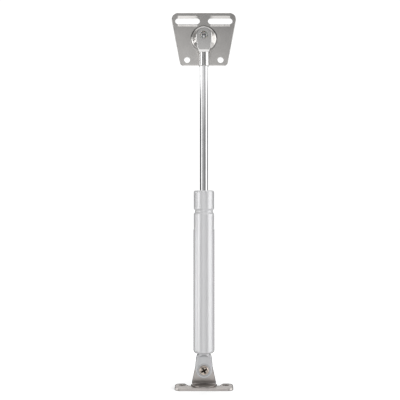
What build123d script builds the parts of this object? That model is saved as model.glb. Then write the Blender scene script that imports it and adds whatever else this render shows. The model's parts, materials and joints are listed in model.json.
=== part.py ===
"""Gas strut stay: fixing plate, ball-and-socket rod end, gas spring, flat eye and foot bracket.

Millimetres, +Z up along the strut, +X to the right, -Y towards the person who fits it. The origin is
on the plate's back face, on the ball stud's axis. The strut stands at its full length.
"""

import os

from build123d import *

# Clearances, and how close two lengths must be to count as the same
RUNNING_GAP = 0.05
TOLERANCE = 0.001

# Strut axis: parallel to Z, in front of the plate
STRUT_Y = -12.5
PIVOT_Z = -245.0

# Fixing plate
PLATE_THICKNESS = 2.0
PLATE_HALF_HEIGHT = 19.75
PLATE_TOP_HALF_WIDTH = 25.2
PLATE_BOTTOM_HALF_WIDTH = 17.6
PLATE_TOP_CORNER = 5.0
PLATE_BOTTOM_CORNER = 3.0
PLATE_EDGE_ROUND = 0.5
SLOT_LENGTH = 18.5
SLOT_WIDTH = 4.5
SLOT_SPACING = 24.5
SLOT_Z = 13.5
SLOT_BEVEL_WIDTH = 7.9
SLOT_BEVEL_LENGTH = 14.6
SLOT_BEVEL_DEPTH = 1.2
PLATE_HOLE_RADIUS = 2.25
PLATE_HOLE_SPACING = 25.0
PLATE_HOLE_Z = -15.6
PLATE_HOLE_BEVEL = 0.2

# Pressed boss of the plate, hollow behind
BOSS_BASE_RADIUS = 9.0
BOSS_TOP_RADIUS = 6.0
BOSS_TOP_Y = -5.5
BOSS_WALL = 1.8
BOSS_BASE_ROUND = 2.6
BOSS_TOP_ROUND = 1.2

# Ball stud
BALL_RADIUS = 4.0
STUD_NECK_RADIUS = 2.25
COLLAR_RADIUS = 3.75
COLLAR_THICKNESS = 0.75
SHANK_RADIUS = 2.5
RIVET_RADIUS = 4.0
RIVET_THICKNESS = 1.2

# Rod end, measured along Y from the strut axis (front is negative)
HEAD_FRONT = -5.3
HEAD_BACK = 5.0
HEAD_RADIUS = 5.85
HEAD_MID_HALF_WIDTH = 5.45
HEAD_MID_Z = -6.0
HEAD_FLANK_SLOPE = 0.575
HEAD_FOOT_HALF_WIDTH = 3.5
HEAD_FOOT_Z = -12.2
HEAD_FOOT_CORNER = 0.6
HEAD_EDGE_ROUND = 0.8
HEAD_STEP_CHAMFER = 1.3
WINDOW_RADIUS = 2.9
WINDOW_BEVEL = 0.15
FRONT_WALL = 1.0
SOCKET_RADIUS = 5.0
CLIP_GROOVE_RADIUS = 5.35
NECK_TOP_RADIUS = 3.6
NECK_BOTTOM_RADIUS = 3.8
NECK_BOTTOM_Z = -22.4
NECK_CHAMFER = 0.4
THREAD_RADIUS = 2.5
THREAD_TOP_Z = -13.0

# Cup and clip inside the rod end
CUP_RADIUS = BALL_RADIUS + RUNNING_GAP
CUP_BACK = 2.2
CLIP_WIRE_RADIUS = 0.55
CLIP_RING_RADIUS = 4.75
CLIP_GAP_ANGLE = 40.0

# Rod and piston
ROD_RADIUS = 3.0
SPIGOT_RADIUS = 2.0
PISTON_TOP_Z = -131.4
PISTON_BOTTOM_Z = -135.4
PISTON_RADIUS = 6.2
PISTON_WASHER_RADIUS = 5.2
PISTON_WASHER_THICKNESS = 0.8
PISTON_GROOVE_RADIUS = 5.2
PISTON_GROOVE_TOP_Z = -132.35
PISTON_GROOVE_BOTTOM_Z = -134.45
RING_INNER_RADIUS = 5.3
RING_GAP = 0.6

# Pressure tube
TUBE_RADIUS = 7.5
TUBE_BORE_RADIUS = 6.5
TUBE_TOP_Z = -113.5
TUBE_BOTTOM_Z = -232.5
TUBE_WALL = TUBE_RADIUS - TUBE_BORE_RADIUS
TOP_ROLL_RADIUS = 1.3
BOTTOM_ROLL_RADIUS = 2.0
TOP_MOUTH_RADIUS = 4.2
BOTTOM_MOUTH_RADIUS = 3.2
CRIMP_Z = -128.8
CRIMP_HALF_WIDTH = 1.7
CRIMP_DEPTH = 1.0
CRIMP_RIM_ROUND = 0.6

# Guide, seal and washer stacked between the rolled top and the crimp
GUIDE_BOTTOM_Z = -120.7
SEAL_BOTTOM_Z = -125.6
BACKING_BOTTOM_Z = CRIMP_Z + CRIMP_HALF_WIDTH
GUIDE_BORE_RADIUS = ROD_RADIUS + RUNNING_GAP
SEAL_CHANNEL_DEPTH = 2.4
SEAL_LIP_ANGLE = 80.0

# End plug
PLUG_TOP_Z = -226.7
PLUG_BOTTOM_Z = TUBE_BOTTOM_Z + TUBE_WALL
PLUG_STUD_RADIUS = 1.75
PLUG_STUD_BOTTOM_Z = -237.0
O_RING_WIRE_RADIUS = 0.95
O_RING_Z = -229.0
O_RING_GROOVE_WIDTH = 2.1

# Eye
EYE_NECK_RADIUS = 4.25
EYE_HALF_THICKNESS = 2.5
EYE_END_RADIUS = 6.2
EYE_FLANK_HALF_WIDTH = 5.65
EYE_FLANK_Z = -237.8
EYE_NECK_Z = -233.5
EYE_SHOULDER_SLOPE = 1.1
EYE_EDGE_ROUND = 1.0
EYE_ARCH_RADIUS = 6.0
EYE_ARCH_Z = -239.8
SPOTFACE_RADIUS = 4.7
SPOTFACE_DEPTH = 0.3

# Pivot screw and washer
SHOULDER_RADIUS = 2.5
EYE_HOLE_RADIUS = SHOULDER_RADIUS + RUNNING_GAP
SCREW_THREAD_RADIUS = 2.0
SCREW_HEAD_RADIUS = 3.55
SCREW_HEAD_HEIGHT = 2.3
SCREW_HEAD_ROUND = 1.3
RECESS_SPAN = 4.7
RECESS_BLADE = 1.3
RECESS_DEPTH = 2.3
RECESS_TURN = 28.0
RECESS_TAPER = 9.0
WASHER_RADIUS = 4.6
WASHER_THICKNESS = 0.45

# Foot bracket
SHEET = 2.0
EAR_FRONT = EYE_HALF_THICKNESS + 2 * RUNNING_GAP + WASHER_THICKNESS
EAR_RADIUS = 6.3
EAR_ROOT_HALF_WIDTH = 8.6
EAR_FLANK_ANGLE = 12.4
BEND_INNER_RADIUS = 2.0
FOOT_BOTTOM_Z = -258.9
FOOT_HALF_LENGTH = 21.2
FOOT_FRONT = -8.0
FOOT_BACK = 6.0
FOOT_CORNER = 4.0
FOOT_HOLE_SPACING = 32.0
FOOT_HOLE_RADIUS = 2.5
FOOT_HOLE_BACK = 2.0
FOOT_HOLE_BEVEL = 0.2
FOOT_EDGE_ROUND = 0.4
NOTCH_FLOOR = -0.4
NOTCH_OUTER_X = 11.2
NOTCH_RAMP_X = 14.2
PAD_HALF_WIDTH = 9.5
PAD_FRONT = -7.6
PAD_HEIGHT = 0.7
PAD_TAPER = 12.0

# Planes: front views are drawn facing -Y, turned profiles as (radius, height)
FRONT = Plane.XZ
STRUT_PROFILE = Plane(origin=(0, STRUT_Y, 0), x_dir=(1, 0, 0), z_dir=(0, -1, 0))
STRUT_AXIS = Axis((0, STRUT_Y, 0), (0, 0, 1))


def strut_front(depth):
    """Front-view plane at a depth behind the strut axis, drawn facing -Y."""
    return Plane(origin=(0, STRUT_Y + depth, 0), x_dir=(1, 0, 0), z_dir=(0, -1, 0))


def ring_profile(inner, outer, bottom, top):
    """Rectangle at (radius, height), to be revolved about the strut axis."""
    with Locations(((inner + outer) / 2, (bottom + top) / 2)):
        Rectangle(outer - inner, top - bottom)


def rims_of_radius(piece, radius):
    """Circular edges of a piece that have the given radius."""
    return piece.edges().filter_by(GeomType.CIRCLE).filter_by(
        lambda rim: abs(rim.radius - radius) < TOLERANCE
    )


def corners_at_half_width(half_width):
    """Corners of the sketch in hand that lie this far left or right of the middle."""
    return vertices().filter_by(lambda corner: abs(abs(corner.X) - half_width) < TOLERANCE)


# ---------------------------------------------------------------- Fixing plate

with BuildPart() as mounting_plate:
    with BuildSketch(FRONT):
        with BuildLine():
            Polyline(
                (-PLATE_TOP_HALF_WIDTH, PLATE_HALF_HEIGHT),
                (PLATE_TOP_HALF_WIDTH, PLATE_HALF_HEIGHT),
                (PLATE_BOTTOM_HALF_WIDTH, -PLATE_HALF_HEIGHT),
                (-PLATE_BOTTOM_HALF_WIDTH, -PLATE_HALF_HEIGHT),
                close=True,
            )
        make_face()
        fillet(vertices().group_by(Axis.Y)[-1], PLATE_TOP_CORNER)
        fillet(vertices().group_by(Axis.Y)[0], PLATE_BOTTOM_CORNER)
    extrude(amount=PLATE_THICKNESS)
    front_face = mounting_plate.faces().sort_by(Axis.Y)[0]
    fillet(front_face.edges(), PLATE_EDGE_ROUND)

    # Boss: a truncated cone pressed forward, with the same form hollowed out behind
    with BuildSketch(Plane.XY):
        with BuildLine():
            Polyline(
                (0, -PLATE_THICKNESS / 2),
                (BOSS_BASE_RADIUS, -PLATE_THICKNESS / 2),
                (BOSS_BASE_RADIUS, -PLATE_THICKNESS),
                (BOSS_TOP_RADIUS, BOSS_TOP_Y),
                (0, BOSS_TOP_Y),
                close=True,
            )
        make_face()
    revolve(axis=Axis.Y)
    fillet(rims_of_radius(mounting_plate, BOSS_TOP_RADIUS), BOSS_TOP_ROUND)
    fillet(rims_of_radius(mounting_plate, BOSS_BASE_RADIUS), BOSS_BASE_ROUND)
    with BuildSketch(Plane.XY):
        with BuildLine():
            Polyline(
                (0, 0),
                (BOSS_BASE_RADIUS - BOSS_WALL / 2, 0),
                (BOSS_TOP_RADIUS - BOSS_WALL / 2, BOSS_TOP_Y + BOSS_WALL),
                (0, BOSS_TOP_Y + BOSS_WALL),
                close=True,
            )
        make_face()
    revolve(axis=Axis.Y, mode=Mode.SUBTRACT)
    with BuildSketch(FRONT):
        Circle(SHANK_RADIUS + RUNNING_GAP)
    extrude(amount=-BOSS_TOP_Y, mode=Mode.SUBTRACT)

    # Long slots, bevelled in front along their straight sides for countersunk heads
    with BuildSketch(FRONT):
        with Locations((0, SLOT_Z)):
            with GridLocations(SLOT_SPACING, 0, 2, 1):
                SlotOverall(SLOT_LENGTH, SLOT_WIDTH)
    extrude(amount=PLATE_THICKNESS, mode=Mode.SUBTRACT)
    for side in (1, -1):
        with BuildSketch(Plane.YZ.offset(side * SLOT_SPACING / 2)):
            with BuildLine():
                Polyline(
                    (-PLATE_THICKNESS, SLOT_Z + SLOT_BEVEL_WIDTH / 2),
                    (SLOT_BEVEL_DEPTH - PLATE_THICKNESS, SLOT_Z + SLOT_WIDTH / 2),
                    (SLOT_BEVEL_DEPTH - PLATE_THICKNESS, SLOT_Z - SLOT_WIDTH / 2),
                    (-PLATE_THICKNESS, SLOT_Z - SLOT_BEVEL_WIDTH / 2),
                    close=True,
                )
            make_face()
        extrude(amount=SLOT_BEVEL_LENGTH / 2, both=True, mode=Mode.SUBTRACT)

    # Round holes
    with BuildSketch(FRONT):
        with Locations((0, PLATE_HOLE_Z)):
            with GridLocations(PLATE_HOLE_SPACING, 0, 2, 1):
                Circle(PLATE_HOLE_RADIUS)
    extrude(amount=PLATE_THICKNESS, mode=Mode.SUBTRACT)
    lowest_rims = rims_of_radius(mounting_plate, PLATE_HOLE_RADIUS).group_by(Axis.Z)[0]
    chamfer(lowest_rims.group_by(Axis.Y)[0], PLATE_HOLE_BEVEL)

# ------------------------------------------------------------------- Ball stud

with BuildPart() as ball_stud:
    ball_end_y = STRUT_Y + (BALL_RADIUS**2 - STUD_NECK_RADIUS**2) ** 0.5
    collar_back_y = BOSS_TOP_Y - RUNNING_GAP
    collar_front_y = collar_back_y - COLLAR_THICKNESS
    rivet_front_y = BOSS_TOP_Y + BOSS_WALL + RUNNING_GAP
    with BuildSketch(Plane.XY):
        with BuildLine():
            ThreePointArc(
                (0, STRUT_Y - BALL_RADIUS),
                (BALL_RADIUS, STRUT_Y),
                (STUD_NECK_RADIUS, ball_end_y),
            )
            Polyline(
                (STUD_NECK_RADIUS, ball_end_y),
                (STUD_NECK_RADIUS, collar_front_y),
                (COLLAR_RADIUS, collar_front_y),
                (COLLAR_RADIUS, collar_back_y),
                (SHANK_RADIUS, collar_back_y),
                (SHANK_RADIUS, rivet_front_y),
                (RIVET_RADIUS, rivet_front_y),
                (RIVET_RADIUS, rivet_front_y + RIVET_THICKNESS),
                (0, rivet_front_y + RIVET_THICKNESS),
                (0, STRUT_Y - BALL_RADIUS),
            )
        make_face()
    revolve(axis=Axis.Y)
    rivet_rim = ball_stud.edges().filter_by(GeomType.CIRCLE).sort_by(Axis.Y)[-1]
    fillet(rivet_rim, RIVET_THICKNESS / 2)

# --------------------------------------------------------------------- Rod end

with BuildPart() as rod_end_socket:
    with BuildSketch(strut_front(HEAD_BACK)):
        with BuildLine():
            CenterArc((0, 0), HEAD_RADIUS, 0, 180)
            for side in (1, -1):
                Spline(
                    (side * HEAD_RADIUS, 0),
                    (side * HEAD_MID_HALF_WIDTH, HEAD_MID_Z),
                    (side * HEAD_FOOT_HALF_WIDTH, HEAD_FOOT_Z),
                    tangents=[(0, -1), (-side * HEAD_FLANK_SLOPE, -1)],
                )
            Line((-HEAD_FOOT_HALF_WIDTH, HEAD_FOOT_Z), (HEAD_FOOT_HALF_WIDTH, HEAD_FOOT_Z))
        make_face()
        fillet(vertices().group_by(Axis.Y)[0], HEAD_FOOT_CORNER)
    extrude(amount=HEAD_BACK - HEAD_FRONT)
    # Sloping step from the flat front down to the neck
    with BuildSketch(Plane.YZ):
        with BuildLine():
            Polyline(
                (STRUT_Y + HEAD_FRONT, HEAD_FOOT_Z + HEAD_STEP_CHAMFER),
                (STRUT_Y + HEAD_FRONT, HEAD_FOOT_Z),
                (STRUT_Y + HEAD_FRONT + HEAD_STEP_CHAMFER, HEAD_FOOT_Z),
                close=True,
            )
        make_face()
    extrude(amount=HEAD_RADIUS, both=True, mode=Mode.SUBTRACT)
    fillet(rod_end_socket.faces().sort_by(Axis.Y)[0].edges(), HEAD_EDGE_ROUND)
    fillet(rod_end_socket.faces().sort_by(Axis.Y)[-1].edges(), HEAD_EDGE_ROUND)

    # Round neck, a little wider at its open end
    with BuildSketch(STRUT_PROFILE):
        with BuildLine():
            Polyline(
                (0, HEAD_MID_Z),
                (NECK_TOP_RADIUS, HEAD_MID_Z),
                (NECK_TOP_RADIUS, HEAD_FOOT_Z),
                (NECK_BOTTOM_RADIUS, NECK_BOTTOM_Z + NECK_CHAMFER),
                (NECK_BOTTOM_RADIUS - NECK_CHAMFER, NECK_BOTTOM_Z),
                (0, NECK_BOTTOM_Z),
                close=True,
            )
        make_face()
    revolve(axis=STRUT_AXIS)

    # Socket bored from behind, window bored from the front
    with BuildSketch(strut_front(HEAD_BACK)):
        Circle(SOCKET_RADIUS)
    extrude(amount=HEAD_BACK - HEAD_FRONT - FRONT_WALL, mode=Mode.SUBTRACT)
    with BuildSketch(strut_front(CUP_BACK + 2 * CLIP_WIRE_RADIUS + RUNNING_GAP)):
        Circle(CLIP_GROOVE_RADIUS)
    extrude(amount=2 * CLIP_WIRE_RADIUS + RUNNING_GAP, mode=Mode.SUBTRACT)
    with BuildSketch(strut_front(HEAD_FRONT)):
        Circle(WINDOW_RADIUS)
    extrude(amount=-FRONT_WALL, mode=Mode.SUBTRACT)
    front_window_rim = rims_of_radius(rod_end_socket, WINDOW_RADIUS).group_by(Axis.Y)[0]
    chamfer(front_window_rim, WINDOW_BEVEL)

    # Threaded bore for the rod
    with BuildSketch(Plane.XY.offset(NECK_BOTTOM_Z)):
        with Locations((0, STRUT_Y)):
            Circle(THREAD_RADIUS)
    extrude(amount=THREAD_TOP_Z - NECK_BOTTOM_Z, mode=Mode.SUBTRACT)

with BuildPart() as socket_liner:
    cup_front = HEAD_FRONT + FRONT_WALL
    with BuildSketch(Plane(origin=(0, STRUT_Y, 0), x_dir=(1, 0, 0), z_dir=(0, 0, 1))):
        with Locations((SOCKET_RADIUS / 2, (cup_front + CUP_BACK) / 2)):
            Rectangle(SOCKET_RADIUS, CUP_BACK - cup_front)
    revolve(axis=Axis.Y)
    with Locations((0, STRUT_Y, 0)):
        Sphere(CUP_RADIUS, mode=Mode.SUBTRACT)
    with BuildSketch(strut_front(0)):
        Circle(WINDOW_RADIUS)
    extrude(amount=-cup_front, mode=Mode.SUBTRACT)

with BuildPart() as socket_clip:
    clip_y = CUP_BACK + CLIP_WIRE_RADIUS
    with BuildLine(strut_front(clip_y)) as clip_path:
        CenterArc((0, 0), CLIP_RING_RADIUS, 90 + CLIP_GAP_ANGLE / 2, 360 - CLIP_GAP_ANGLE)
    with BuildSketch(Plane(origin=clip_path.line @ 0, z_dir=clip_path.line % 0)):
        Circle(CLIP_WIRE_RADIUS)
    sweep(path=clip_path.line)

# --------------------------------------------------------------- Rod and piston

with BuildPart() as piston_rod:
    rod_shoulder_z = PISTON_TOP_Z + PISTON_WASHER_THICKNESS
    spigot_end_z = PISTON_BOTTOM_Z - PISTON_WASHER_THICKNESS
    with BuildSketch(STRUT_PROFILE):
        ring_profile(0, ROD_RADIUS, rod_shoulder_z, NECK_BOTTOM_Z)
        ring_profile(0, THREAD_RADIUS, NECK_BOTTOM_Z, THREAD_TOP_Z)
        ring_profile(0, SPIGOT_RADIUS, spigot_end_z, rod_shoulder_z)
    revolve(axis=STRUT_AXIS)

with BuildPart() as piston_stop_washer:
    with BuildSketch(STRUT_PROFILE):
        ring_profile(SPIGOT_RADIUS, PISTON_WASHER_RADIUS, PISTON_TOP_Z, rod_shoulder_z)
    revolve(axis=STRUT_AXIS)

with BuildPart() as piston:
    with BuildSketch(STRUT_PROFILE):
        ring_profile(SPIGOT_RADIUS, PISTON_RADIUS, PISTON_BOTTOM_Z, PISTON_TOP_Z)
    revolve(axis=STRUT_AXIS)
    with BuildSketch(STRUT_PROFILE):
        ring_profile(
            PISTON_GROOVE_RADIUS, PISTON_RADIUS, PISTON_GROOVE_BOTTOM_Z, PISTON_GROOVE_TOP_Z
        )
    revolve(axis=STRUT_AXIS, mode=Mode.SUBTRACT)

with BuildPart() as piston_retainer:
    with BuildSketch(STRUT_PROFILE):
        ring_profile(SPIGOT_RADIUS, PISTON_WASHER_RADIUS, spigot_end_z, PISTON_BOTTOM_Z)
    revolve(axis=STRUT_AXIS)

with BuildPart() as piston_ring:
    with BuildSketch(STRUT_PROFILE):
        ring_profile(
            RING_INNER_RADIUS,
            TUBE_BORE_RADIUS - RUNNING_GAP,
            PISTON_GROOVE_BOTTOM_Z + RUNNING_GAP,
            PISTON_GROOVE_TOP_Z - RUNNING_GAP,
        )
    revolve(axis=STRUT_AXIS)
    with BuildSketch(Plane.XY.offset(PISTON_BOTTOM_Z)):
        with Locations((TUBE_BORE_RADIUS, STRUT_Y)):
            Rectangle(TUBE_BORE_RADIUS, RING_GAP)
    extrude(amount=PISTON_TOP_Z - PISTON_BOTTOM_Z, mode=Mode.SUBTRACT)

# ---------------------------------------------------------------- Pressure tube

with BuildPart() as pressure_tube:
    crimp_top_z = CRIMP_Z + CRIMP_HALF_WIDTH
    crimp_bottom_z = CRIMP_Z - CRIMP_HALF_WIDTH
    with BuildSketch(STRUT_PROFILE):
        with BuildLine():
            # Outer wall with the crimped groove, then the bore with the matching bead
            for wall_radius in (TUBE_RADIUS, TUBE_BORE_RADIUS):
                ThreePointArc(
                    (wall_radius, crimp_bottom_z),
                    (wall_radius - CRIMP_DEPTH, CRIMP_Z),
                    (wall_radius, crimp_top_z),
                )
            Polyline(
                (TUBE_RADIUS, crimp_top_z),
                (TUBE_RADIUS, TUBE_TOP_Z),
                (TOP_MOUTH_RADIUS, TUBE_TOP_Z),
                (TOP_MOUTH_RADIUS, TUBE_TOP_Z - TUBE_WALL),
                (TUBE_BORE_RADIUS, TUBE_TOP_Z - TUBE_WALL),
                (TUBE_BORE_RADIUS, crimp_top_z),
            )
            Polyline(
                (TUBE_BORE_RADIUS, crimp_bottom_z),
                (TUBE_BORE_RADIUS, PLUG_BOTTOM_Z),
                (BOTTOM_MOUTH_RADIUS, PLUG_BOTTOM_Z),
                (BOTTOM_MOUTH_RADIUS, TUBE_BOTTOM_Z),
                (TUBE_RADIUS, TUBE_BOTTOM_Z),
                (TUBE_RADIUS, crimp_bottom_z),
            )
        make_face()
        fillet(vertices().group_by(Axis.X)[-1].sort_by(Axis.Y)[-1], TOP_ROLL_RADIUS)
        fillet(vertices().group_by(Axis.X)[-1].sort_by(Axis.Y)[0], BOTTOM_ROLL_RADIUS)
        groove_corners = vertices().group_by(Axis.X)[-1].filter_by(
            lambda corner: abs(abs(corner.Y - CRIMP_Z) - CRIMP_HALF_WIDTH) < TOLERANCE
        )
        fillet(groove_corners, CRIMP_RIM_ROUND)
    revolve(axis=STRUT_AXIS)

with BuildPart() as rod_guide:
    with BuildSketch(STRUT_PROFILE):
        ring_profile(
            GUIDE_BORE_RADIUS, TUBE_BORE_RADIUS, GUIDE_BOTTOM_Z, TUBE_TOP_Z - TUBE_WALL
        )
        ring_profile(
            GUIDE_BORE_RADIUS, TOP_MOUTH_RADIUS, TUBE_TOP_Z - TUBE_WALL, TUBE_TOP_Z - TUBE_WALL / 2
        )
    revolve(axis=STRUT_AXIS)

with BuildPart() as rod_seal:
    seal_middle = (GUIDE_BORE_RADIUS + TUBE_BORE_RADIUS) / 2
    with BuildSketch(STRUT_PROFILE):
        ring_profile(GUIDE_BORE_RADIUS, TUBE_BORE_RADIUS, SEAL_BOTTOM_Z, GUIDE_BOTTOM_Z)
        # Channel between the inner and the outer lip, open towards the gas
        with Locations((seal_middle, SEAL_BOTTOM_Z)):
            Trapezoid(
                TUBE_BORE_RADIUS - seal_middle,
                2 * SEAL_CHANNEL_DEPTH,
                SEAL_LIP_ANGLE,
                mode=Mode.SUBTRACT,
            )
    revolve(axis=STRUT_AXIS)

with BuildPart() as seal_backing_washer:
    with BuildSketch(STRUT_PROFILE):
        ring_profile(
            ROD_RADIUS + 2 * RUNNING_GAP, TUBE_BORE_RADIUS, BACKING_BOTTOM_Z, SEAL_BOTTOM_Z
        )
    revolve(axis=STRUT_AXIS)

with BuildPart() as end_plug:
    o_ring_seat_radius = TUBE_BORE_RADIUS - 2 * O_RING_WIRE_RADIUS
    with BuildSketch(STRUT_PROFILE):
        ring_profile(0, TUBE_BORE_RADIUS, PLUG_BOTTOM_Z, PLUG_TOP_Z)
        ring_profile(0, PLUG_STUD_RADIUS, PLUG_STUD_BOTTOM_Z, PLUG_BOTTOM_Z)
        with Locations(((o_ring_seat_radius + TUBE_BORE_RADIUS) / 2, O_RING_Z)):
            Rectangle(2 * O_RING_WIRE_RADIUS, O_RING_GROOVE_WIDTH, mode=Mode.SUBTRACT)
    revolve(axis=STRUT_AXIS)

with BuildPart() as plug_o_ring:
    with BuildSketch(STRUT_PROFILE):
        with Locations((TUBE_BORE_RADIUS - O_RING_WIRE_RADIUS, O_RING_Z)):
            Circle(O_RING_WIRE_RADIUS)
    revolve(axis=STRUT_AXIS)

# ------------------------------------------------------------------------- Eye

with BuildPart() as eye_tongue:
    with BuildSketch(strut_front(EYE_HALF_THICKNESS)):
        with BuildLine():
            CenterArc((0, PIVOT_Z), EYE_END_RADIUS, 180, 180)
            for side in (1, -1):
                Spline(
                    (side * EYE_END_RADIUS, PIVOT_Z),
                    (side * EYE_FLANK_HALF_WIDTH, EYE_FLANK_Z),
                    (side * EYE_NECK_RADIUS, EYE_NECK_Z),
                    tangents=[(0, 1), (-side * EYE_SHOULDER_SLOPE, 1)],
                )
            Line((-EYE_NECK_RADIUS, EYE_NECK_Z), (EYE_NECK_RADIUS, EYE_NECK_Z))
        make_face()
    extrude(amount=2 * EYE_HALF_THICKNESS)
    tongue_rims = eye_tongue.faces().filter_by(Axis.Y).edges().filter_by(
        lambda rim: rim.center().Z < EYE_NECK_Z - EYE_EDGE_ROUND
    )
    fillet(tongue_rims, EYE_EDGE_ROUND)

with BuildPart() as eye_end:
    # Round neck, cut away in front and behind along an arch to meet the flat tongue
    with BuildSketch(STRUT_PROFILE):
        ring_profile(0, EYE_NECK_RADIUS, EYE_ARCH_Z, TUBE_BOTTOM_Z)
    revolve(axis=STRUT_AXIS)
    for depth in (EYE_NECK_RADIUS, -EYE_HALF_THICKNESS):
        with BuildSketch(strut_front(depth)):
            with Locations((0, EYE_ARCH_Z)):
                Circle(EYE_ARCH_RADIUS)
        extrude(amount=EYE_NECK_RADIUS - EYE_HALF_THICKNESS, mode=Mode.SUBTRACT)
    add(eye_tongue.part)

    # Pivot hole with a shallow spotface in front
    with BuildSketch(strut_front(EYE_HALF_THICKNESS)):
        with Locations((0, PIVOT_Z)):
            Circle(EYE_HOLE_RADIUS)
    extrude(amount=2 * EYE_HALF_THICKNESS, mode=Mode.SUBTRACT)
    with BuildSketch(strut_front(-EYE_HALF_THICKNESS)):
        with Locations((0, PIVOT_Z)):
            Circle(SPOTFACE_RADIUS)
    extrude(amount=-SPOTFACE_DEPTH, mode=Mode.SUBTRACT)

    # Threaded bore for the plug's stud
    with BuildSketch(Plane.XY.offset(TUBE_BOTTOM_Z)):
        with Locations((0, STRUT_Y)):
            Circle(PLUG_STUD_RADIUS)
    extrude(amount=PLUG_STUD_BOTTOM_Z - TUBE_BOTTOM_Z, mode=Mode.SUBTRACT)

# ---------------------------------------------------------------- Foot and pivot

with BuildPart() as foot_bracket:
    base_top_z = FOOT_BOTTOM_Z + SHEET
    ear_back = EAR_FRONT + SHEET
    bend_y = STRUT_Y + EAR_FRONT - BEND_INNER_RADIUS
    bend_centre_z = base_top_z + BEND_INNER_RADIUS

    # Base: rounded lobes at both ends and a relief notch on each side of the ear
    with BuildSketch(Plane.XY.offset(FOOT_BOTTOM_Z)):
        with BuildLine():
            half_outline = Polyline(
                (0, STRUT_Y + FOOT_FRONT),
                (FOOT_HALF_LENGTH, STRUT_Y + FOOT_FRONT),
                (FOOT_HALF_LENGTH, STRUT_Y + FOOT_BACK),
                (NOTCH_RAMP_X, STRUT_Y + FOOT_BACK),
                (NOTCH_OUTER_X, STRUT_Y + NOTCH_FLOOR),
                (EAR_ROOT_HALF_WIDTH, STRUT_Y + NOTCH_FLOOR),
                (EAR_ROOT_HALF_WIDTH, bend_y),
                (0, bend_y),
            )
            mirror(half_outline, about=Plane.YZ)
        make_face()
        fillet(corners_at_half_width(FOOT_HALF_LENGTH), FOOT_CORNER)
        fillet(corners_at_half_width(NOTCH_OUTER_X), SHEET / 2)
        fillet(corners_at_half_width(NOTCH_RAMP_X), SHEET / 2)
    extrude(amount=SHEET)
    # Rounding the two front edges carries on along the whole smooth outline
    front_edges = foot_bracket.faces().filter_by(Axis.Z).edges().group_by(Axis.Y)[0]
    fillet(front_edges, FOOT_EDGE_ROUND)

    # Raised pad in front of the ear, running under the bend
    with BuildSketch(Plane.XY.offset(base_top_z)):
        with BuildLine():
            pad_rim = ThreePointArc(
                (-PAD_HALF_WIDTH, bend_y), (0, STRUT_Y + PAD_FRONT), (PAD_HALF_WIDTH, bend_y)
            )
            Line(pad_rim @ 1, pad_rim @ 0)
        make_face()
        with Locations((0, bend_y)):
            Rectangle(2 * EAR_ROOT_HALF_WIDTH, PAD_HEIGHT, align=(Align.CENTER, Align.MIN))
    extrude(amount=PAD_HEIGHT, taper=PAD_TAPER)

    # Quarter-round bend up into the ear, seen from the side
    with BuildSketch(Plane.YZ.offset(-EAR_ROOT_HALF_WIDTH)):
        with BuildLine():
            for bend_radius in (BEND_INNER_RADIUS, BEND_INNER_RADIUS + SHEET):
                CenterArc((bend_y, bend_centre_z), bend_radius, -90, 90)
            Line((bend_y, base_top_z), (bend_y, FOOT_BOTTOM_Z))
            Line((STRUT_Y + EAR_FRONT, bend_centre_z), (STRUT_Y + ear_back, bend_centre_z))
        make_face()
    extrude(amount=2 * EAR_ROOT_HALF_WIDTH)

    # Ear: flanks run up as tangents into the round end about the pivot
    flank_top = Vector(EAR_RADIUS, 0).rotate(Axis.Z, EAR_FLANK_ANGLE)
    with BuildSketch(strut_front(ear_back)):
        with Locations((0, PIVOT_Z)):
            Circle(EAR_RADIUS)
        with BuildLine():
            Polyline(
                (-EAR_ROOT_HALF_WIDTH, bend_centre_z),
                (EAR_ROOT_HALF_WIDTH, bend_centre_z),
                (flank_top.X, PIVOT_Z + flank_top.Y),
                (-flank_top.X, PIVOT_Z + flank_top.Y),
                close=True,
            )
        make_face()
    extrude(amount=SHEET)

    # Fixing holes and the tapped hole in the ear
    with BuildSketch(Plane.XY.offset(FOOT_BOTTOM_Z)):
        with Locations((0, STRUT_Y + FOOT_HOLE_BACK)):
            with GridLocations(FOOT_HOLE_SPACING, 0, 2, 1):
                Circle(FOOT_HOLE_RADIUS)
    extrude(amount=SHEET, mode=Mode.SUBTRACT)
    with BuildSketch(strut_front(ear_back)):
        with Locations((0, PIVOT_Z)):
            Circle(SCREW_THREAD_RADIUS)
    extrude(amount=SHEET, mode=Mode.SUBTRACT)
    upper_hole_rims = rims_of_radius(foot_bracket, FOOT_HOLE_RADIUS).group_by(Axis.Z)[-1]
    chamfer(upper_hole_rims, FOOT_HOLE_BEVEL)

with BuildPart() as pivot_washer:
    with BuildSketch(strut_front(EAR_FRONT)):
        with Locations((0, PIVOT_Z)):
            Circle(WASHER_RADIUS)
            Circle(SHOULDER_RADIUS, mode=Mode.SUBTRACT)
    extrude(amount=WASHER_THICKNESS)

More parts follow.
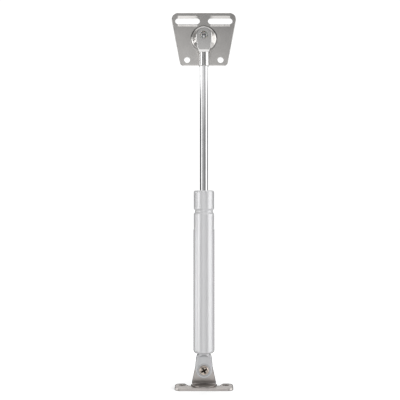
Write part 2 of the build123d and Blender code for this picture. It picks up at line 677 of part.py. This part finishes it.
with BuildPart() as pivot_screw:
    head_back = SPOTFACE_DEPTH - EYE_HALF_THICKNESS - RUNNING_GAP
    with BuildSketch(strut_front(head_back)):
        with Locations((0, PIVOT_Z)):
            Circle(SCREW_HEAD_RADIUS)
    extrude(amount=SCREW_HEAD_HEIGHT)
    fillet(pivot_screw.edges().sort_by(Axis.Y)[0], SCREW_HEAD_ROUND)
    with BuildSketch(strut_front(EAR_FRONT)):
        with Locations((0, PIVOT_Z)):
            Circle(SHOULDER_RADIUS)
    extrude(amount=EAR_FRONT - head_back)
    with BuildSketch(strut_front(EAR_FRONT + SHEET)):
        with Locations((0, PIVOT_Z)):
            Circle(SCREW_THREAD_RADIUS)
    extrude(amount=SHEET)

    # Cross recess, narrowing towards its floor
    with BuildSketch(strut_front(head_back - SCREW_HEAD_HEIGHT)):
        with Locations((0, PIVOT_Z)):
            for turn in (RECESS_TURN, RECESS_TURN + 90):
                Rectangle(RECESS_SPAN, RECESS_BLADE, rotation=turn)
    extrude(amount=-RECESS_DEPTH, taper=RECESS_TAPER, mode=Mode.SUBTRACT)

# ----------------------------------------------------------------------- Files

PIECES = {
    "mounting_plate": mounting_plate,
    "ball_stud": ball_stud,
    "rod_end_socket": rod_end_socket,
    "socket_liner": socket_liner,
    "socket_clip": socket_clip,
    "piston_rod": piston_rod,
    "piston_stop_washer": piston_stop_washer,
    "piston": piston,
    "piston_retainer": piston_retainer,
    "piston_ring": piston_ring,
    "pressure_tube": pressure_tube,
    "rod_guide": rod_guide,
    "rod_seal": rod_seal,
    "seal_backing_washer": seal_backing_washer,
    "end_plug": end_plug,
    "plug_o_ring": plug_o_ring,
    "eye_end": eye_end,
    "foot_bracket": foot_bracket,
    "pivot_screw": pivot_screw,
    "pivot_washer": pivot_washer,
}

os.makedirs("parts", exist_ok=True)
for name, piece in PIECES.items():
    piece.part.label = name
    export_step(piece.part, f"parts/{name}.step")
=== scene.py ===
"""Looks of the gas strut stay: procedural metals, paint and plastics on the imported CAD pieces,
a floor that only catches shadow, and a studio fitted to one view. Metres, +Z up, -Y towards the
viewer.
"""

import json
import math

import bpy
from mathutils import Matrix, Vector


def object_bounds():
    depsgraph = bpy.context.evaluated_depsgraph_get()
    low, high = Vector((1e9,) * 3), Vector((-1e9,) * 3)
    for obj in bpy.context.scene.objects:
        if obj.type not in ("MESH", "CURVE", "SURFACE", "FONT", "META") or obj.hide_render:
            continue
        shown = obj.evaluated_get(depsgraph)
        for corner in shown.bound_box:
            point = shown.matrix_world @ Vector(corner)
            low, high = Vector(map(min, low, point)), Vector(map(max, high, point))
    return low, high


# Camera: straight on, level with the middle of the strut
CAMERA_DISTANCE = 0.560
CAMERA_X = -0.0029
CAMERA_Z = -0.1205
STRUT_Y = -0.0125
FRAME_WIDTH = 0.294
SENSOR_WIDTH = 36.0

# Studio. It is not a plain one: the wall levels and the soft lights were set until the metal's
# highlights agreed from the camera's side, so from elsewhere the metal looks flatter.
FLOOR_SIZE = 6.0
FLOOR_COLOUR = (0.93, 0.93, 0.93, 1.0)
FLOOR_ROUGHNESS = 0.9
BACKDROP_STRENGTH = 1.08
# Brightness of the studio walls by degrees round from the camera's side, positive to the right
AROUND_LEVELS = (
    (-180.0, 0.65),
    (-168.0, 0.55),
    (-160.0, 0.14),
    (-50.0, 0.14),
    (-26.0, 0.20),
    (-16.0, 0.50),
    (-3.0, 0.60),
    (3.0, 0.37),
    (16.0, 0.34),
    (26.0, 0.15),
    (160.0, 0.14),
    (168.0, 0.55),
    (180.0, 0.65),
)
# Its factor by degrees above the horizon
RISE_LEVELS = (
    (-90.0, 3.0),
    (-60.0, 2.4),
    (-28.0, 2.0),
    (-16.0, 1.2),
    (-12.0, 1.0),
    (5.0, 1.0),
    (8.0, 2.0),
    (10.0, 2.0),
    (12.0, 1.1),
    (14.0, 0.3),
    (30.0, 0.3),
    (42.0, 0.4),
    (56.0, 2.0),
    (90.0, 2.0),
)
# Soft lights, added to the walls: degrees round from, to, degrees above the horizon from, to,
# brightness, and how many degrees the light takes to fade out at its top. The low, narrow ones
# serve one highlight each, on the socket's neck or on the tube.
SOFT_LIGHTS = (
    (-76.0, -49.0, -13.0, 17.0, 1.8, 8.0),
    (-118.0, -92.0, 8.2, 12.5, 2.2, 2.0),
    (-49.0, -43.0, 8.6, 17.0, 1.45, 8.0),
    (-114.0, -84.0, -13.0, -1.5, 1.8, 2.0),
    (-84.0, -49.0, -60.0, -13.0, 0.4, 2.0),
    (49.0, 100.0, -13.0, 32.0, 1.4, 26.0),
    (49.0, 100.0, -60.0, -13.0, 0.7, 2.0),
    (43.0, 49.0, 8.6, 32.0, 1.4, 26.0),
    (100.0, 120.0, 8.6, 24.0, 1.4, 10.0),
    (-165.0, -104.0, -60.0, -1.0, 0.35, 2.0),
    (100.0, 165.0, -60.0, -1.0, 0.35, 2.0),
    (-46.0, 46.0, -24.0, -1.0, 0.08, 2.0),
    (-190.0, -46.0, 18.0, 60.0, 0.35, 10.0),
    (46.0, 190.0, 18.0, 60.0, 0.35, 10.0),
)
SOFT_LIGHT_BORDER = 2.0
FILL_ENERGY = 18.0
FILL_SIZE = 2.4
FILL_PLACE = (0.0, -1.2, 0.0)
FILL_TILT = 85.0
OVERHEAD_ENERGY = 4.0
OVERHEAD_SIZE = 1.6
OVERHEAD_PLACE = (0.0, -0.2, 1.1)

# Metal finish: cells per metre of the uneven polish and of the handling marks, and how much darker
# the dull patches are
CLOUD_SCALE = 140.0
MARK_SCALE = 900.0
DULL_SHARE = 0.88
MARK_DEPTH_SHARE = 0.4
WORN_GLOSS_SHARE = 0.4

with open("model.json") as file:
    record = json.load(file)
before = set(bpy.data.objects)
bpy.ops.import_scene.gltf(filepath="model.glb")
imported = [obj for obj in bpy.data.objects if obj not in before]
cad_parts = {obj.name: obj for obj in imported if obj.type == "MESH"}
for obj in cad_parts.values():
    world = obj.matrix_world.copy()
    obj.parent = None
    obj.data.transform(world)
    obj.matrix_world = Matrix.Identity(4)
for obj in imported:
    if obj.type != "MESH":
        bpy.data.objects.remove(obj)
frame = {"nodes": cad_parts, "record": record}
cad_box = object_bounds()
nodes = frame["nodes"]


# ------------------------------------------------------------------ Node helpers


class Recipe:
    """One material: its node tree, its Principled shader and its object coordinates."""

    def __init__(self, name):
        self.material = bpy.data.materials.new(name)
        self.material.use_nodes = True
        self.tree = self.material.node_tree
        self.shader = self.tree.nodes["Principled BSDF"]
        self.place = self.tree.nodes.new("ShaderNodeTexCoord").outputs["Object"]

    def add(self, kind, **settings):
        """New node; settings are its own properties."""
        node = self.tree.nodes.new(kind)
        for key, value in settings.items():
            setattr(node, key, value)
        return node

    def link(self, output, socket):
        self.tree.links.new(output, socket)

    def stretched(self, scale):
        """Object coordinates multiplied by a vector, in cells per metre."""
        mapping = self.add("ShaderNodeMapping")
        mapping.inputs["Scale"].default_value = scale
        self.link(self.place, mapping.inputs["Vector"])
        return mapping.outputs["Vector"]

    def noise(self, scale, detail=3.0, roughness=0.55):
        """Noise between 0 and 1; scale is cells per metre, one number or one per axis."""
        if not isinstance(scale, tuple):
            scale = (scale, scale, scale)
        texture = self.add("ShaderNodeTexNoise")
        texture.inputs["Scale"].default_value = 1.0
        texture.inputs["Detail"].default_value = detail
        texture.inputs["Roughness"].default_value = roughness
        self.link(self.stretched(scale), texture.inputs["Vector"])
        return texture.outputs["Fac"]

    def spread(self, value, low, high, start=0.3, end=0.7):
        """Value between start and end, mapped onto low to high."""
        ramp = self.add("ShaderNodeMapRange", clamp=True)
        ramp.inputs["From Min"].default_value = start
        ramp.inputs["From Max"].default_value = end
        ramp.inputs["To Min"].default_value = low
        ramp.inputs["To Max"].default_value = high
        self.link(value, ramp.inputs["Value"])
        return ramp.outputs["Result"]

    def combine(self, operation, first, second):
        """Maths on two values; either may be a number."""
        node = self.add("ShaderNodeMath", operation=operation, use_clamp=False)
        for socket, value in zip(node.inputs, (first, second)):
            if isinstance(value, (int, float)):
                socket.default_value = value
            else:
                self.link(value, socket)
        return node.outputs["Value"]

    def blend(self, factor, first, second):
        """Mix of two colours by a factor."""
        node = self.add("ShaderNodeMix", data_type="RGBA")
        self.link(factor, node.inputs["Factor"])
        for socket, value in zip((node.inputs[6], node.inputs[7]), (first, second)):
            if isinstance(value, tuple):
                socket.default_value = (*value, 1.0)
            else:
                self.link(value, socket)
        return node.outputs[2]

    def edges(self, radius):
        """1 on edges sharper than the radius, 0 on open surfaces."""
        rounded = self.add("ShaderNodeBevel", samples=4)
        rounded.inputs["Radius"].default_value = radius
        geometry = self.add("ShaderNodeNewGeometry")
        dot = self.add("ShaderNodeVectorMath", operation="DOT_PRODUCT")
        self.link(rounded.outputs["Normal"], dot.inputs[0])
        self.link(geometry.outputs["Normal"], dot.inputs[1])
        return self.spread(dot.outputs["Value"], 1.0, 0.0, 0.82, 0.99)

    def hollows(self, reach, start=0.55, end=0.92):
        """1 deep in corners and recesses, 0 on open surfaces; reach is in metres."""
        openness = self.add("ShaderNodeAmbientOcclusion", samples=8, only_local=True)
        openness.inputs["Distance"].default_value = reach
        return self.spread(openness.outputs["AO"], 1.0, 0.0, start, end)

    def bump(self, height, depth, below=None):
        """Surface relief of a depth in metres, on top of another relief if there is one."""
        node = self.add("ShaderNodeBump")
        node.inputs["Distance"].default_value = depth
        self.link(height, node.inputs["Height"])
        if below is not None:
            self.link(below, node.inputs["Normal"])
        return node.outputs["Normal"]


def finish_metal(
    recipe,
    colour,
    worn,
    roughness,
    grain,
    grain_depth,
    painted_shade=None,
    painted_shade_reach=0.002,
    edge_reach=0.0004,
):
    """Metal with a grain, uneven polish, faint handling marks, brighter worn edges and, if a painted
    shade colour is given, painted shade: corners and recesses darkened towards that colour."""
    shader = recipe.shader
    shader.inputs["Metallic"].default_value = 1.0
    low, high = roughness
    clouds = recipe.noise(CLOUD_SCALE, detail=4.0)
    fine = recipe.noise(grain, detail=2.0)
    marks = recipe.noise(MARK_SCALE, detail=6.0, roughness=0.7)
    edge = recipe.edges(edge_reach)
    uneven = recipe.combine("MULTIPLY_ADD", clouds, 0.6)
    recipe.link(recipe.spread(fine, 0.0, 0.4), uneven.node.inputs[2])
    polish = recipe.spread(uneven, low, high, 0.2, 0.9)
    worn_polish = recipe.combine("MULTIPLY", edge, -WORN_GLOSS_SHARE * low)
    recipe.link(recipe.combine("ADD", polish, worn_polish), shader.inputs["Roughness"])
    dull = tuple(DULL_SHARE * channel for channel in colour)
    base = recipe.blend(recipe.spread(clouds, 0.0, 1.0), dull, colour)
    surface = recipe.blend(edge, base, worn)
    # Painted shade: in corners and recesses the colour is darkened towards the given shade colour, by
    # how enclosed the surface is
    if painted_shade is not None:
        surface = recipe.blend(recipe.hollows(painted_shade_reach), surface, painted_shade)
    recipe.link(surface, shader.inputs["Base Color"])
    relief = recipe.bump(fine, grain_depth)
    scratches = recipe.spread(marks, 0.0, 1.0, 0.55, 0.75)
    relief = recipe.bump(scratches, MARK_DEPTH_SHARE * grain_depth, relief)
    recipe.link(relief, shader.inputs["Normal"])


def finish_plastic(recipe, colour, roughness, grain_depth):
    """Moulded plastic or rubber: fine texture, slightly uneven colour and gloss."""
    shader = recipe.shader
    low, high = roughness
    clouds = recipe.noise(260.0, detail=3.0)
    fine = recipe.noise(6000.0, detail=2.0)
    edge = recipe.edges(0.0003)
    pale = tuple(min(1.0, 1.12 * channel + 0.01) for channel in colour)
    base = recipe.blend(recipe.spread(clouds, 0.0, 1.0), colour, pale)
    recipe.link(recipe.blend(edge, base, pale), shader.inputs["Base Color"])
    recipe.link(recipe.spread(clouds, low, high), shader.inputs["Roughness"])
    recipe.link(recipe.bump(fine, grain_depth), shader.inputs["Normal"])


# --------------------------------------------------------------------- Materials


def plate_nickel():
    """Satin nickel on a pressed steel plate."""
    recipe = Recipe("plate_nickel")
    finish_metal(
        recipe,
        colour=(0.74, 0.72, 0.70),
        worn=(0.86, 0.85, 0.83),
        roughness=(0.17, 0.23),
        grain=(2600.0, 2600.0, 320.0),
        grain_depth=0.000002,
    )
    return recipe.material


def foot_nickel():
    """Satin nickel on the bent foot, warmer and a little rougher."""
    recipe = Recipe("foot_nickel")
    finish_metal(
        recipe,
        colour=(0.80, 0.755, 0.725),
        worn=(0.86, 0.82, 0.79),
        roughness=(0.32, 0.42),
        grain=(420.0, 2600.0, 2600.0),
        grain_depth=0.000006,
        # Painted shade: near-black brown in the foot's holes and inside corners, such as the bend at
        # the foot of the ear
        painted_shade=(0.07, 0.05, 0.04),
        painted_shade_reach=0.005,
    )
    return recipe.material


def socket_nickel():
    """Polished nickel on the die-cast rod end."""
    recipe = Recipe("socket_nickel")
    finish_metal(
        recipe,
        colour=(0.76, 0.75, 0.74),
        worn=(0.86, 0.85, 0.84),
        roughness=(0.13, 0.20),
        grain=4500.0,
        grain_depth=0.0000008,
    )
    return recipe.material


def stud_steel():
    """Turned and zinc-plated ball stud."""
    recipe = Recipe("stud_steel")
    finish_metal(
        recipe,
        colour=(0.78, 0.78, 0.785),
        worn=(0.84, 0.84, 0.84),
        roughness=(0.06, 0.12),
        grain=(300.0, 9000.0, 300.0),
        grain_depth=0.0000003,
    )
    return recipe.material


def rod_chrome():
    """Ground and hard-chromed rod."""
    recipe = Recipe("rod_chrome")
    finish_metal(
        recipe,
        colour=(0.78, 0.78, 0.785),
        worn=(0.82, 0.82, 0.82),
        roughness=(0.05, 0.09),
        grain=(500.0, 500.0, 12000.0),
        grain_depth=0.0000004,
    )
    return recipe.material


def screw_nickel():
    """Warm nickel on the cold-headed screw."""
    recipe = Recipe("screw_nickel")
    finish_metal(
        recipe,
        colour=(0.74, 0.64, 0.56),
        worn=(0.86, 0.79, 0.73),
        roughness=(0.16, 0.28),
        grain=2600.0,
        grain_depth=0.000006,
        # Painted shade: near-black in the cross recess and the other hollows of the screw head
        painted_shade=(0.03, 0.02, 0.015),
    )
    return recipe.material


def spring_wire():
    """Drawn spring steel."""
    recipe = Recipe("spring_wire")
    finish_metal(
        recipe,
        colour=(0.42, 0.42, 0.43),
        worn=(0.55, 0.55, 0.55),
        roughness=(0.25, 0.38),
        grain=4200.0,
        grain_depth=0.000003,
    )
    return recipe.material


def plain_steel():
    """Plain stamped washers."""
    recipe = Recipe("plain_steel")
    finish_metal(
        recipe,
        colour=(0.48, 0.48, 0.48),
        worn=(0.62, 0.62, 0.62),
        roughness=(0.28, 0.42),
        grain=2400.0,
        grain_depth=0.000006,
    )
    return recipe.material


def piston_alloy():
    """Turned alloy of the piston and the plug."""
    recipe = Recipe("piston_alloy")
    finish_metal(
        recipe,
        colour=(0.62, 0.62, 0.63),
        worn=(0.75, 0.75, 0.76),
        roughness=(0.22, 0.34),
        grain=(300.0, 300.0, 9000.0),
        grain_depth=0.000004,
    )
    return recipe.material


def eye_zinc():
    """Silver-grey finish on the die-cast eye: half metal, half lacquer, with a cast texture."""
    recipe = Recipe("eye_zinc")
    finish_metal(
        recipe,
        colour=(0.60, 0.605, 0.615),
        worn=(0.90, 0.905, 0.91),
        roughness=(0.26, 0.38),
        grain=3200.0,
        grain_depth=0.000010,
        # Painted shade: dark grey in the eye's hollows, such as the step under its neck below the
        # tube
        painted_shade=(0.14, 0.14, 0.145),
        edge_reach=0.0006,
    )
    recipe.shader.inputs["Metallic"].default_value = 0.35
    return recipe.material


def tube_paint():
    """Semi-gloss pale grey paint with a slight orange peel and a clear top."""
    recipe = Recipe("tube_paint")
    shader = recipe.shader
    shader.inputs["Metallic"].default_value = 0.4
    shader.inputs["Coat Weight"].default_value = 0.6
    shader.inputs["Coat Roughness"].default_value = 0.15
    clouds = recipe.noise(90.0, detail=4.0)
    peel = recipe.noise(1400.0, detail=2.0)
    flake = recipe.noise(24000.0, detail=1.0)
    edge = recipe.edges(0.0005)
    base = recipe.blend(recipe.spread(clouds, 0.0, 1.0), (0.72, 0.72, 0.73), (0.73, 0.73, 0.74))
    recipe.link(recipe.blend(edge, base, (0.76, 0.76, 0.77)), shader.inputs["Base Color"])
    gloss = recipe.combine("ADD", recipe.spread(clouds, 0.27, 0.30), recipe.spread(flake, 0.0, 0.05))
    recipe.link(gloss, shader.inputs["Roughness"])
    recipe.link(recipe.bump(peel, 0.000004), shader.inputs["Normal"])
    return recipe.material


def acetal():
    """Natural moulded acetal."""
    recipe = Recipe("acetal")
    finish_plastic(recipe, colour=(0.80, 0.79, 0.74), roughness=(0.32, 0.46), grain_depth=0.000006)
    recipe.shader.inputs["Subsurface Weight"].default_value = 0.1
    recipe.shader.inputs["Subsurface Scale"].default_value = 0.001
    return recipe.material


def guide_plastic():
    """Black moulded guide."""
    recipe = Recipe("guide_plastic")
    finish_plastic(recipe, colour=(0.035, 0.035, 0.038), roughness=(0.4, 0.55), grain_depth=0.000008)
    return recipe.material


def nitrile():
    """Black moulded rubber."""
    recipe = Recipe("nitrile")
    finish_plastic(recipe, colour=(0.02, 0.02, 0.02), roughness=(0.5, 0.68), grain_depth=0.00001)
    return recipe.material


MATERIALS = {
    "plate_nickel": plate_nickel,
    "stud_steel": stud_steel,
    "socket_nickel": socket_nickel,
    "acetal": acetal,
    "spring_wire": spring_wire,
    "rod_chrome": rod_chrome,
    "plain_steel": plain_steel,
    "piston_alloy": piston_alloy,
    "tube_paint": tube_paint,
    "guide_plastic": guide_plastic,
    "nitrile": nitrile,
    "eye_zinc": eye_zinc,
    "foot_nickel": foot_nickel,
    "screw_nickel": screw_nickel,
}


def dress_pieces():
    """Each CAD piece takes the material of its slot in the record."""
    made = {slot: make() for slot, make in MATERIALS.items()}
    for part in frame["record"]["subparts"]:
        piece = nodes[part["node"]]
        for holder in piece.material_slots:
            holder.material = made[part["material_slot"]]


# ------------------------------------------------------------------------ Studio


def add_floor():
    """Floor under the foot: it catches the foot's shadow and is otherwise unseen, also in
    reflections, so the white around the object is the backdrop."""
    floor_z = cad_box[0].z
    bpy.ops.mesh.primitive_plane_add(size=FLOOR_SIZE, location=(0.0, 0.0, floor_z))
    floor = bpy.context.object
    floor.name = "floor"
    material = bpy.data.materials.new("floor")
    material.use_nodes = True
    shader = material.node_tree.nodes["Principled BSDF"]
    shader.inputs["Base Color"].default_value = FLOOR_COLOUR
    shader.inputs["Roughness"].default_value = FLOOR_ROUGHNESS
    floor.data.materials.append(material)
    floor.is_shadow_catcher = True
    floor.visible_glossy = False
    floor.visible_diffuse = False


def add_surroundings():
    """White backdrop for the camera; for light and reflections, walls of uneven brightness with
    the soft lights added on them. Directions are the world's own and don't follow the camera."""
    world = bpy.data.worlds.new("studio")
    bpy.context.scene.world = world
    world.use_nodes = True
    tree = world.node_tree
    tree.nodes.clear()

    def add(kind, **settings):
        node = tree.nodes.new(kind)
        for key, value in settings.items():
            setattr(node, key, value)
        return node

    def maths(operation, first, second=0.0):
        node = add("ShaderNodeMath", operation=operation)
        for socket, value in zip(node.inputs, (first, second)):
            if isinstance(value, float):
                socket.default_value = value
            else:
                tree.links.new(value, socket)
        return node.outputs["Value"]

    def levels(angle, low, high, stops):
        """Brightness along an angle between low and high degrees, from (degrees, level) stops."""
        node = add("ShaderNodeValToRGB")
        tree.links.new(maths("DIVIDE", maths("SUBTRACT", angle, low), high - low), node.inputs["Fac"])
        brightest = max(level for _, level in stops)
        elements = node.color_ramp.elements
        while len(elements) < len(stops):
            elements.new(0.5)
        for element, (degrees, level) in zip(elements, stops):
            element.position = (degrees - low) / (high - low)
            grey = level / brightest
            element.color = (grey, grey, grey, 1.0)
        return maths("MULTIPLY", node.outputs["Color"], brightest)

    def above(angle, limit, border=SOFT_LIGHT_BORDER):
        """1 above a limit and 0 below it, with a soft border in between."""
        node = add("ShaderNodeMapRange", interpolation_type="SMOOTHSTEP")
        tree.links.new(angle, node.inputs["Value"])
        node.inputs["From Min"].default_value = limit - border / 2
        node.inputs["From Max"].default_value = limit + border / 2
        return node.outputs["Result"]

    def below(angle, limit, border=SOFT_LIGHT_BORDER):
        """1 below a limit and 0 above it, with a soft border in between."""
        return maths("SUBTRACT", 1.0, above(angle, limit, border))

    direction = add("ShaderNodeSeparateXYZ")
    tree.links.new(add("ShaderNodeTexCoord").outputs["Generated"], direction.inputs["Vector"])
    towards = maths("MULTIPLY", direction.outputs["Y"], -1.0)
    turn = maths("MULTIPLY", maths("ARCTAN2", direction.outputs["X"], towards), 180.0 / math.pi)
    rise = maths("MULTIPLY", maths("ARCSINE", direction.outputs["Z"]), 180.0 / math.pi)
    level = maths(
        "MULTIPLY",
        levels(turn, -180.0, 180.0, AROUND_LEVELS),
        levels(rise, -90.0, 90.0, RISE_LEVELS),
    )
    for left, right, bottom, top, brightness, fade in SOFT_LIGHTS:
        across = maths("MULTIPLY", above(turn, left), below(turn, right))
        upright = maths("MULTIPLY", above(rise, bottom), below(rise, top, fade))
        panel = maths("MULTIPLY", maths("MULTIPLY", across, upright), brightness)
        level = maths("ADD", level, panel)

    surroundings = add("ShaderNodeBackground")
    surroundings.inputs["Color"].default_value = (1.0, 1.0, 1.0, 1.0)
    tree.links.new(level, surroundings.inputs["Strength"])
    backdrop = add("ShaderNodeBackground")
    backdrop.inputs["Color"].default_value = (1.0, 1.0, 1.0, 1.0)
    backdrop.inputs["Strength"].default_value = BACKDROP_STRENGTH
    choice = add("ShaderNodeMixShader")
    tree.links.new(add("ShaderNodeLightPath").outputs["Is Camera Ray"], choice.inputs["Fac"])
    tree.links.new(surroundings.outputs["Background"], choice.inputs[1])
    tree.links.new(backdrop.outputs["Background"], choice.inputs[2])
    output = add("ShaderNodeOutputWorld")
    tree.links.new(choice.outputs["Shader"], output.inputs["Surface"])


def add_overhead_light():
    """Large soft light above, for the tops and the floor."""
    light = bpy.data.lights.new("overhead", "AREA")
    light.shape = "RECTANGLE"
    light.size = OVERHEAD_SIZE
    light.size_y = OVERHEAD_SIZE
    light.energy = OVERHEAD_ENERGY
    holder = bpy.data.objects.new("overhead", light)
    holder.location = OVERHEAD_PLACE
    bpy.context.scene.collection.objects.link(holder)


def add_fill_light():
    """Broad frontal light that lifts paint and plastic but leaves no highlight on the metal."""
    light = bpy.data.lights.new("fill", "AREA")
    light.shape = "RECTANGLE"
    light.size = FILL_SIZE
    light.size_y = FILL_SIZE
    light.energy = FILL_ENERGY
    holder = bpy.data.objects.new("fill", light)
    holder.location = FILL_PLACE
    holder.rotation_euler = (math.radians(FILL_TILT), 0.0, 0.0)
    holder.visible_glossy = False
    bpy.context.scene.collection.objects.link(holder)


def add_camera():
    """Level camera on the strut, wide enough for the whole object."""
    camera = bpy.data.cameras.new("camera")
    camera.sensor_width = SENSOR_WIDTH
    camera.lens = SENSOR_WIDTH * CAMERA_DISTANCE / FRAME_WIDTH
    camera.clip_start = 0.01
    camera.clip_end = 20.0
    holder = bpy.data.objects.new("camera", camera)
    holder.location = (CAMERA_X, STRUT_Y - CAMERA_DISTANCE, CAMERA_Z)
    holder.rotation_euler = (math.pi / 2, 0.0, 0.0)
    bpy.context.scene.collection.objects.link(holder)
    bpy.context.scene.camera = holder


add_camera()
dress_pieces()
add_floor()
add_surroundings()
add_overhead_light()
add_fill_light()
bpy.context.scene.view_settings.view_transform = "Standard"
